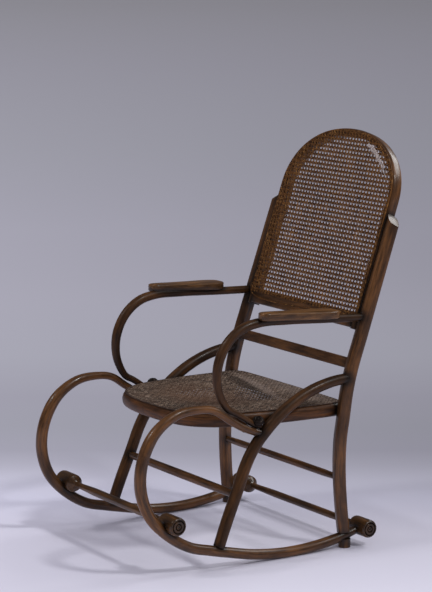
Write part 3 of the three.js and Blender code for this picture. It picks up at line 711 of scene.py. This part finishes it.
def seatOutline(inset, steps=160):
    # the seat's plan, moved inward
    line = bothSides([(x * seat["halfWidth"], seat["front"] + y * (seat["back"] - seat["front"]))
                      for x, y in seat["plan"]], steps)
    moved = []
    for i, point in enumerate(line):
        along = (line[(i + 1) % steps] - line[i - 1]).normalized()
        moved.append(point - Vector((along.y, -along.x, 0)) * inset * milli)
    return moved


def bendRing():
    section = [(x * seat["ringWidth"] * milli, y * seat["ringHeight"] * milli) for x, y in seat["section"]]
    bendLoop("seatRing", seatOutline(0), section, seatTilt, ringWood, nodes=["seat_ring"])


bendRing()
print("seat ring bent")

# cane
weave = {
    "pitch": 12.8, "stretch": 1.07, "pair": 0.15, "strand": 2.8, "crossing": 0.5,
    "diagonal": 1.15, "turnIn": 0.19, "uprightWidth": 1.18, "levelWidth": 1.0, "slantWidth": 0.95,
    "reach": 600, "endShare": 0.05, "crown": (-0.35, 0.5), "strandGrain": 3.17, "sideGrain": 0.3,
}


def insetFrom(edge, places):
    # how far each place lies from the nearest side of the outline
    start = np.array(edge)
    way = np.roll(start, -1, axis=0) - start
    away = places[:, None] - start
    share = np.clip((away * way).sum(2) / np.maximum((way ** 2).sum(1), 1e-12), 0, 1)
    return np.linalg.norm(away - share[..., None] * way, axis=2).min(1)


def spansInside(edge, origin, direction):
    # the stretches of a straight line that lie inside the outline
    away = np.array(edge) - origin
    along, beside = away @ direction, away @ (-direction[1], direction[0])
    share = beside / np.where(beside == np.roll(beside, -1), np.inf, beside - np.roll(beside, -1))
    crossed = (beside > 0) != (np.roll(beside, -1) > 0)
    return np.sort((along + (np.roll(along, -1) - along) * share)[crossed]).reshape(-1, 2)


def strandLines(edge, middle):
    # every strand as a line of (x, y, height) places: two ways in pairs, two ways slantwise
    pitch, up, over = (weave[name] * milli for name in ("pitch", "crossing", "diagonal"))
    pair, turn = weave["pair"], weave["turnIn"]
    reach = int(weave["reach"] / weave["pitch"])
    root = math.sqrt(0.5)
    plans = []
    for row in range(-reach, reach + 1):
        for side in (-1, 1):
            offset = (row + side * pair) * pitch
            plans.append(((offset, middle), (0, 1), pitch, weave["uprightWidth"],
                          [(-pair, -side * up), (pair, side * up), (0.5, 0)]))
            plans.append(((0, middle + offset), (1, 0), pitch, weave["levelWidth"],
                          [(-pair, side * up), (pair, -side * up), (0.5, 0)]))
        for lean in (-1, 1):
            # lean 1 passes over the upright pairs and under the level ones, lean -1 the other way
            beats = [(0.5 - turn, lean * over), (0.5 + turn, lean * over),
                     (1 - turn, -lean * over), (1 + turn, -lean * over)]
            plans.append((((row + 0.5) * pitch, middle), (root, -lean * root), pitch / root,
                          weave["slantWidth"], beats))
    lines, widths = [], []
    for origin, direction, period, width, beats in plans:
        for start, end in spansInside(edge, origin, direction):
            if end - start < pitch / 2:
                continue
            gap = pitch * weave["endShare"]
            turns = range(int(start / period) - 2, int(end / period) + 3)
            stops = [((turn + share) * period, height) for turn in turns for share, height in beats]
            stops = sorted(stop for stop in stops if start + gap < stop[0] < end - gap)
            stops = [(start, 0.0), *stops, (end, 0.0)]
            lines.append([(origin[0] + direction[0] * at, origin[1] + direction[1] * at, height)
                          for at, height in stops])
            widths.append([width] * len(stops))
    return lines, widths


def weaveSheet(name, edge, middle, values, lift, look, node, place):
    # laid in a square, which is then stretched sideways and leant by the skew
    stretch, skew = weave["stretch"], values["skew"]
    square = [((x + skew * (y - middle)) / stretch, y) for x, y in edge]
    lines, widths = strandLines(square, middle)
    flat = [[(x * stretch - skew * (y - middle), y, height) for x, y, height in line] for line in lines]
    lines = [[Vector((x, y, height + z)) for (x, y, height), z in zip(line, lift(line))] for line in flat]
    half = weave["strand"] / 2 * milli
    low, high = (values["thickness"] * share * milli for share in weave["crown"])
    piece = sweep(lines, [(-half, low), (0, high), (half, low)], widths, capped=False, twist="Z_UP")
    grain = []
    for index, line in enumerate(lines):
        grain += [(reach, index * weave["strandGrain"], side * weave["sideGrain"])
                  for reach in reachAlong(line) for side in range(3)]
    storeGrain(piece, grain)
    with allSelected(piece):
        bpy.ops.mesh.fill_holes(sides=3)
        bpy.ops.mesh.select_all(action="SELECT")
        bpy.ops.mesh.normals_make_consistent(inside=False)
    piece.data.transform(place)
    smooth(piece, angle=80)
    settle(piece, name, look, [node], "cane")
    print(name, len(lines), "strands", len(piece.data.polygons), "faces")


seatCane = {
    "inset": 11, "rise": 1.9, "sagStart": 22, "sagReach": 205, "skew": 0, "thickness": 1.9,
    "foldFrom": (-256, 156), "foldTo": (150, 66), "foldHeight": 5, "foldWidth": 20,
}
backCane = {"footRun": 136, "grow": 6, "rise": 18.2, "skew": 0.09, "thickness": 1.1}


def caneSeat():
    edge = [(point.x, point.y) for point in seatOutline(seatCane["inset"])]
    start, end = (np.array(seatCane[name]) for name in ("foldFrom", "foldTo"))
    way = end - start
    length = np.linalg.norm(way)

    def lift(line):
        places = np.array([(x, y) for x, y, height in line])
        inset = insetFrom(edge, places) / milli
        share = np.clip((inset - seatCane["sagStart"]) / seatCane["sagReach"], 0, 1)
        away = places / milli - start
        along = np.clip(away @ way / length ** 2, 0, 1)
        across = (away[:, 0] * way[1] - away[:, 1] * way[0]) / length / seatCane["foldWidth"]
        fold = seatCane["foldHeight"] * np.sin(math.pi * along) * np.exp(-across ** 2)
        return (seatCane["rise"] - seat["sag"] * eased(share) + fold) * milli

    weaveSheet("seatWeave", edge, (seat["front"] + seat["back"]) / 2 * milli, seatCane, lift,
               seatLook, "seat_cane", seatTilt)


def caneBack():
    edge = [(x * milli, run * milli) for x, run in hoopEdge(backCane["footRun"], backCane["grow"])]
    flat = backCane["rise"] * milli
    weaveSheet("backWeave", edge, (backCane["footRun"] + hoop["archRun"]) / 2 * milli, backCane,
               lambda line: [flat] * len(line), cane, "back_cane", backPlane)


binding = {"inset": 10, "width": 6.5, "depth": 2.4, "corner": 0.9, "rise": 1.4}
backSpline = {"grow": 6.5, "width": 3.2, "depth": 2.4, "corner": 1.0, "rise": 17.6, "steps": 240}


def bindEdges():
    bendLoop("seatBinding", seatOutline(binding["inset"]), softSection(binding), seatTilt, caneTrim,
             binding["rise"], slotName="cane")
    points = [Vector((x, run, backSpline["rise"])) * milli
              for x, run in hoopEdge(backCane["footRun"], backSpline["grow"])]
    line = bentLine(points + [points[0]], backSpline["steps"])[:-1]
    bendLoop("backSpline", line, softSection(backSpline), backPlane, cane, slotName="cane")


fray = {
    "path": [(96, 603), (112, 597), (126, 590), (138, 583), (151, 574), (163, 565), (179, 554), (192, 542),
             (203, 530), (210, 512), (212, 496)],
    "count": 190, "length": (4, 14), "width": 1.5, "spread": 8, "rise": (19.4, 23), "thickestAt": 0.3,
    "scatter": 0.2, "limits": (0.02, 0.98), "turn": 0.5, "aside": (-1, 0.4), "waver": (-0.4, 0.4),
    "taper": [1, 0.9, 0.7, 0.3], "crown": (-0.5, 0.7), "pathSteps": 100, "seed": 7,
}


def frayEdge():
    # broken fibres where the back's cane has torn along its edge
    random = np.random.default_rng(fray["seed"])
    path = bentLine([Vector((x, run, 0)) for x, run in fray["path"]], fray["pathSteps"])
    last = len(fray["taper"]) - 1
    lines = []
    for fibre in range(fray["count"]):
        share = np.clip(random.normal(fray["thickestAt"], fray["scatter"]), *fray["limits"])
        at = int(share * (fray["pathSteps"] - 1))
        along = (path[at + 1] - path[at]).normalized()
        aside = Vector((-along.y, along.x, 0))
        turn = random.normal(0, fray["turn"])
        way = along * math.cos(turn) + aside * math.sin(turn)
        start = path[at] + aside * random.uniform(*fray["aside"]) * fray["spread"]
        length = random.uniform(*fray["length"])
        low, high = np.sort(random.uniform(*fray["rise"], 2))
        lines.append([(start + way * length * step / last
                       + upward * (low + (high - low) * step / last + random.uniform(*fray["waver"]))) * milli
                      for step in range(last + 1)])
    half = fray["width"] / 2 * milli
    low, high = (half * share for share in fray["crown"])
    piece = sweep(lines, [(-half, low), (0, high), (half, low)], [fray["taper"]] * len(lines), twist="Z_UP")
    closeUp(piece, reach=0.000001)
    layGrain(piece, [point * milli for point in path], upward)
    piece.data.transform(backPlane)
    smooth(piece, angle=80)
    settle(piece, "frayedFibres", frayed, slotName="cane")


caneSeat()
caneBack()
bindEdges()
frayEdge()
print("cane woven")

# turned pieces
turnedBars = {
    "frontBar": {"node": "front_bar", "place": (0, -343.9, 140.7), "end": 299.7, "rod": 22},
    "rearBar": {"node": "rear_bar", "place": (0, 253.3, 48.2), "end": 319.4, "rod": 20},
}
barrel = {
    "radius": 24.5, "length": 67, "neck": 15, "neckPlace": 81, "collar": 0.6, "collarRun": 14, "belly": 0.5,
    "bellySteps": 5, "steps": 64,
    "profile": [
        (0, 0.05), (0.08, 0.03), (0.14, 0.0), (0.24, 0.0), (0.27, 0.035), (0.31, 0.05), (0.35, 0.035),
        (0.38, 0.0), (0.5, -0.01), (0.61, 0.0), (0.64, 0.035), (0.69, 0.05), (0.73, 0.035), (0.76, 0.0),
        (0.85, 0.0), (0.93, 0.02), (0.98, 0.055), (1, 0.11), (1, 0.5), (1, 0.87), (0.985, 0.93),
        (0.95, 0.98), (0.9, 1), (0.8, 1.02), (0.62, 1.12), (0.42, 1.18),
    ],
    "stainReach": 7,
    "stain": [(0, 0.95), (0.1, 0.9), (0.16, 0.35), (0.23, 0.4), (0.28, 1), (0.34, 1), (0.39, 0.45),
              (0.5, 0.6), (0.6, 0.5), (0.65, 1), (0.73, 1), (0.78, 0.5), (0.9, 0.5), (1, 0.2)],
}


def blackenEnds(piece, values):
    # the turned grooves in the end faces hold the old stain
    rings, amounts = zip(*barrel["stain"])
    x, y, z = (cornersOf(piece) / milli - values["place"]).T
    radius = np.hypot(y, z) / barrel["radius"]
    onEnd = np.clip((np.abs(x) - values["end"] + barrel["stainReach"]) / barrel["stainReach"] * 2, 0, 1)
    stain = np.interp(radius, rings, amounts) * onEnd
    cornerValues(piece, "grimeAndShade").foreach_set("value", stain)


def turnBars():
    for name, values in turnedBars.items():
        end = values["end"]
        half = [(share * barrel["radius"], end - inward * barrel["length"])
                for share, inward in barrel["profile"]]
        neck, collar = end - barrel["neckPlace"], end - barrel["neckPlace"] - barrel["collarRun"]
        belly = neck * barrel["belly"]
        thin, thick = barrel["neck"] / 2 + barrel["collar"], values["rod"] / 2
        half += [(barrel["neck"] / 2, neck), (thin, collar)]
        for step in range(1, barrel["bellySteps"] + 1):
            share = step / barrel["bellySteps"]
            half.append((thin + (thick - thin) * eased(share), collar + (belly - collar) * share))
        half.append((thick, 0))
        piece = turned(bothEnds(half), values["place"], steps=barrel["steps"])
        smooth(piece, angle=30)
        blackenEnds(piece, values)
        settle(piece, name, endWood, [values["node"]])


stretchers = {
    "frontStretcher": {"node": "leg_stretcher_front", "place": (0, -147.1, 190), "rod": 22, "half": 262},
    "rearStretcher": {"node": "leg_stretcher_rear", "place": (0, 180.6, 192), "rod": 19, "half": 268},
}
rodSwell = {"end": -1.5, "shoulder": 60, "third": 0.3, "middle": 0.4, "steps": 36}


def turnStretchers():
    for name, values in stretchers.items():
        radius, half = values["rod"] / 2, values["half"]
        places = [(0, half), (radius + rodSwell["end"], half), (radius, half - rodSwell["shoulder"]),
                  (radius + rodSwell["third"], half / 3), (radius + rodSwell["middle"], 0)]
        piece = turned(bothEnds(places), values["place"], steps=rodSwell["steps"])
        smooth(piece)
        settle(piece, name, wood, [values["node"]])


armButtons = {
    "armButtonLeft": {"node": "arm_bolt_left", "place": (261, -73.5, 372.5), "lean": 38,
                      "toward": (0.83, -0.55, 0), "shank": [(3, -8), (0, -9)]},
    "armButtonRight": {"node": "arm_bolt_right", "place": (-259.5, -73.5, 381.5), "lean": 0,
                       "toward": (-0.83, -0.55, 0), "shank": [(3, -15), (0, -16)]},
}
buttonProfile = [  # radius and height, from the crown down to the shank
    (0, 19.5), (2.2, 19.2), (3.6, 17.8), (4.4, 16), (5.6, 15.8), (6.8, 17.2), (8.2, 17.6), (9.6, 16.8),
    (10.4, 15), (11.6, 14.8), (13.4, 13.4), (15, 11), (15.8, 8.4), (15.9, 6), (15.2, 3.6), (13.4, 1.4),
    (10.5, -0.6), (8, -2.5), (4, -4), (3, -5),
]
rearStop = {
    "place": (282.0, 195.3, 0),
    "profile": [(0, 0), (15, 0), (16.05, 0.45), (16.5, 1.5), (16.5, 24), (0, 24)],
}


def turnSmallPieces():
    for name, values in armButtons.items():
        lean = math.radians(values["lean"])
        facing = Vector(values["toward"]).normalized() * math.sin(lean) + upward * math.cos(lean)
        button = turned(buttonProfile + values["shank"], values["place"], facing.normalized())
        smooth(button)
        settle(button, name, iron, [values["node"]], "iron")
    stop = turned(rearStop["profile"], rearStop["place"], upward)
    smooth(stop)
    settlePair(stop, "rearStop", endWood, "rear_stop")


turnBars()
turnStretchers()
turnSmallPieces()
print("turned pieces made")

# arm pads
armPad = {
    "front": (270.6, -75.7, 645), "length": 243, "half": 33, "thickness": 18.5,
    "rise": (16, 295), "turn": (9.4, 323),
    "plan": [
        (0, 0), (0.004, 0.22), (0.02, 0.46), (0.07, 0.62), (0.3, 0.68), (0.6, 0.86), (0.78, 1), (0.89, 0.95),
        (0.96, 0.74), (0.995, 0.4), (1, 0),
    ],
    "steps": 72, "crown": [(4, 1.6), (6, 1.3), (7, 0.7)], "edge": 3.2,
}


def shapePads():
    outline = bothSides([(wide * armPad["half"], along * armPad["length"]) for along, wide in armPad["plan"]],
                        armPad["steps"])
    pad = meshPiece("pad", outline, [], [range(len(outline))])
    with allSelected(pad):
        thickness = armPad["thickness"] * milli
        bpy.ops.mesh.extrude_region_move(TRANSFORM_OT_translate={"value": (0, 0, thickness)})
        for inset, rise in armPad["crown"]:
            bpy.ops.mesh.inset(thickness=inset * milli, depth=0)
            bpy.ops.transform.translate(value=(0, 0, rise * milli))
    closeUp(pad)
    softenEdges(pad, armPad["edge"], segments=4, angle=50)
    layGrain(pad, straightLine(Vector(), Vector((0, armPad["length"], 0)) * milli), sideways)
    rise, turn = (math.atan2(*armPad[name]) for name in ("rise", "turn"))
    pad.data.transform(Matrix.Translation(Vector(armPad["front"]) * milli)
                       @ Matrix.Rotation(-turn, 4, "Z") @ Matrix.Rotation(-rise, 4, "X"))
    smooth(pad, angle=50)
    settlePair(pad, "armPad", padWoodDustAndSheen, "arm_pad")


shapePads()
print("arm pads shaped")

# dirt and painted shade gather where two pieces meet
dirtAndShade = {"reach": 15, "least": 2}
woods = (wood, darkWood, padWoodDustAndSheen, ringWood, endWood)


def gatherDirtAndShade():
    pieces = [piece for piece in bpy.data.objects
              if piece.type == "MESH" and piece.data.materials and piece.data.materials[0] in woods]
    trees = [BVHTree.FromPolygons([vertex.co for vertex in piece.data.vertices],
                                  [face.vertices for face in piece.data.polygons]) for piece in pieces]
    reach, least = dirtAndShade["reach"] * milli, dirtAndShade["least"] * milli
    for index, piece in enumerate(pieces):
        low, high = piece.bound_box[0], piece.bound_box[6]
        nearby = [trees[i] for i, other in enumerate(pieces) if i != index
                  and all(other.bound_box[0][k] < high[k] + reach and other.bound_box[6][k] > low[k] - reach
                          for k in range(3))]
        # wood darkens as it nears another piece, partly dirt and partly painted shade
        amounts = []
        for vertex in piece.data.vertices:
            near = reach
            for tree in nearby:
                away = tree.find_nearest(vertex.co, near)[3]
                near = near if away is None else away
            amounts.append(1 - min(max((near - least) / (reach - least), 0), 1))
        grimeAndShade = cornerValues(piece, "grimeAndShade")
        before = np.empty(len(amounts))
        grimeAndShade.foreach_get("value", before)
        grimeAndShade.foreach_set("value", np.maximum(before, amounts))


gatherDirtAndShade()
print("dirt gathered")

# screws keep their CAD shape
for node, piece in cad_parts.items():
    if "screw" in node:
        piece.data.materials.clear()
        piece.data.materials.append(iron)

# floor, light and camera
studio = {  # in metres, with each tone at its distance behind the chair; the tones are painted light, brightest in front of the chair, dimmest about 1.3 m behind it and dim again far off
    "floor": 60, "sides": 96, "roughness": 0.9, "reflection": 0.1, "away": (-0.835, 0.55, 0),
    "aside": (0.55, 0.835, 0), "fall": (-0.6, 0.6, 0.25, 0.75), "fallReach": 1.3, "ease": 0.5,
    "paintedLightTones": [
        (-0.6, "dddbe8"), (0.0, "cfcddb"), (0.36, "bcbbcb"), (0.59, "b2b1bf"), (0.77, "a1a0ac"),
        (0.97, "94939e"), (1.3, "91919a"), (1.75, "93929c"), (2.5, "9d9da6"), (3.8, "a4a3ad"),
        (6, "a7a6b0"), (10, "a2a2aa"), (19, "9b9aa2"), (36, "919095"),
    ],
}


def layFloor():
    bpy.ops.object.select_all(action="DESELECT")
    bpy.ops.mesh.primitive_circle_add(vertices=studio["sides"], radius=studio["floor"], fill_type="NGON")
    floor = bpy.context.object
    floor.name = "studioFloor"
    material, tree, shader = newMaterial(
        "paleFloor", {"Roughness": studio["roughness"], "Specular IOR Level": studio["reflection"]})
    spot = spotOn(tree)
    away, aside = (addNode(tree, "VectorMath", {0: spot, 1: studio[way]}, operation="DOT_PRODUCT")
                   .outputs["Value"] for way in ("away", "aside"))
    first, last = studio["paintedLightTones"][0][0], studio["paintedLightTones"][-1][0]
    place = calculate(tree, "POWER", spread(tree, away, first, last), studio["ease"])
    # the ramp paints the fall of light over the floor with distance
    ramp = addNode(tree, "ValToRGB", {0: place})
    points = ramp.color_ramp.elements
    for i, (distance, colour) in enumerate(studio["paintedLightTones"]):
        at = ((distance - first) / (last - first)) ** studio["ease"]
        point = points[i] if i < 2 else points.new(at)
        point.position = at
        point.color = tone(colour)
    # the light falls off from the sitter's right toward the left
    length = addNode(tree, "VectorMath", {0: spot}, operation="LENGTH").outputs["Value"]
    share = calculate(tree, "DIVIDE", aside, calculate(tree, "ADD", length, studio["fallReach"]))
    level = calculate(tree, "SUBTRACT", 1.0, times(tree, share, spread(tree, away, *studio["fall"])))
    feed(tree, shader, {"Base Color": blendColours(tree, 1.0, ramp.outputs[0], level, "MULTIPLY")})
    floor.data.materials.append(material)


sky = {"tone": "e4e2ec", "light": 0.62, "glint": 0.12}
lamps = {
    "sideKey": {"kind": "SUN", "gaze": (-0.8, -0.34, -1.0),
                "settings": {"energy": 1.0, "angle": math.radians(7)}},
    "frontFill": {"kind": "SUN", "gaze": (0.25, 0.92, -1.15),
                  "settings": {"energy": 0.55, "angle": math.radians(9)}},
    "rearPanel": {"kind": "AREA", "place": (0.3, 3.0, 2.9), "gaze": (-0.3, -2.7, -2.0),
                  "settings": {"energy": 62, "shape": "RECTANGLE", "size": 2.4, "size_y": 1.2}},
}
photoView = {
    "place": (4.960, -3.3003, 1.688), "aim": (0.0056, -0.0367, 0.668),
    "settings": {"sensor_fit": "VERTICAL", "sensor_height": 36, "lens": 136.04, "clip_end": 200},
}


def hang(name, data, place, gaze):
    # a lamp or camera that looks along its gaze
    holder = addObject(name, data)
    holder.location = place
    holder.rotation_euler = Vector(gaze).to_track_quat("-Z", "Y").to_euler()
    return holder


def lightStudio():
    world = bpy.data.worlds.new("studio")
    bpy.context.scene.world = world
    world.use_nodes = True
    tree = world.node_tree
    glossy = addNode(tree, "LightPath", {}).outputs["Is Glossy Ray"]
    dimmed = spread(tree, glossy, 0, 1, sky["light"], sky["glint"])
    feed(tree, tree.nodes["Background"], {"Color": tone(sky["tone"]), "Strength": dimmed})
    for name, values in lamps.items():
        lamp = bpy.data.lights.new(name, values["kind"])
        adjust(lamp, values["settings"])
        hang(name, lamp, values.get("place", (0, 0, 0)), values["gaze"])


def placeCamera():
    camera = bpy.data.cameras.new("photoView")
    adjust(camera, photoView["settings"])
    gaze = Vector(photoView["aim"]) - Vector(photoView["place"])
    bpy.context.scene.camera = hang("photoView", camera, photoView["place"], gaze)


layFloor()
lightStudio()
placeCamera()
bpy.context.scene.view_settings.view_transform = "Standard"
print("studio set")
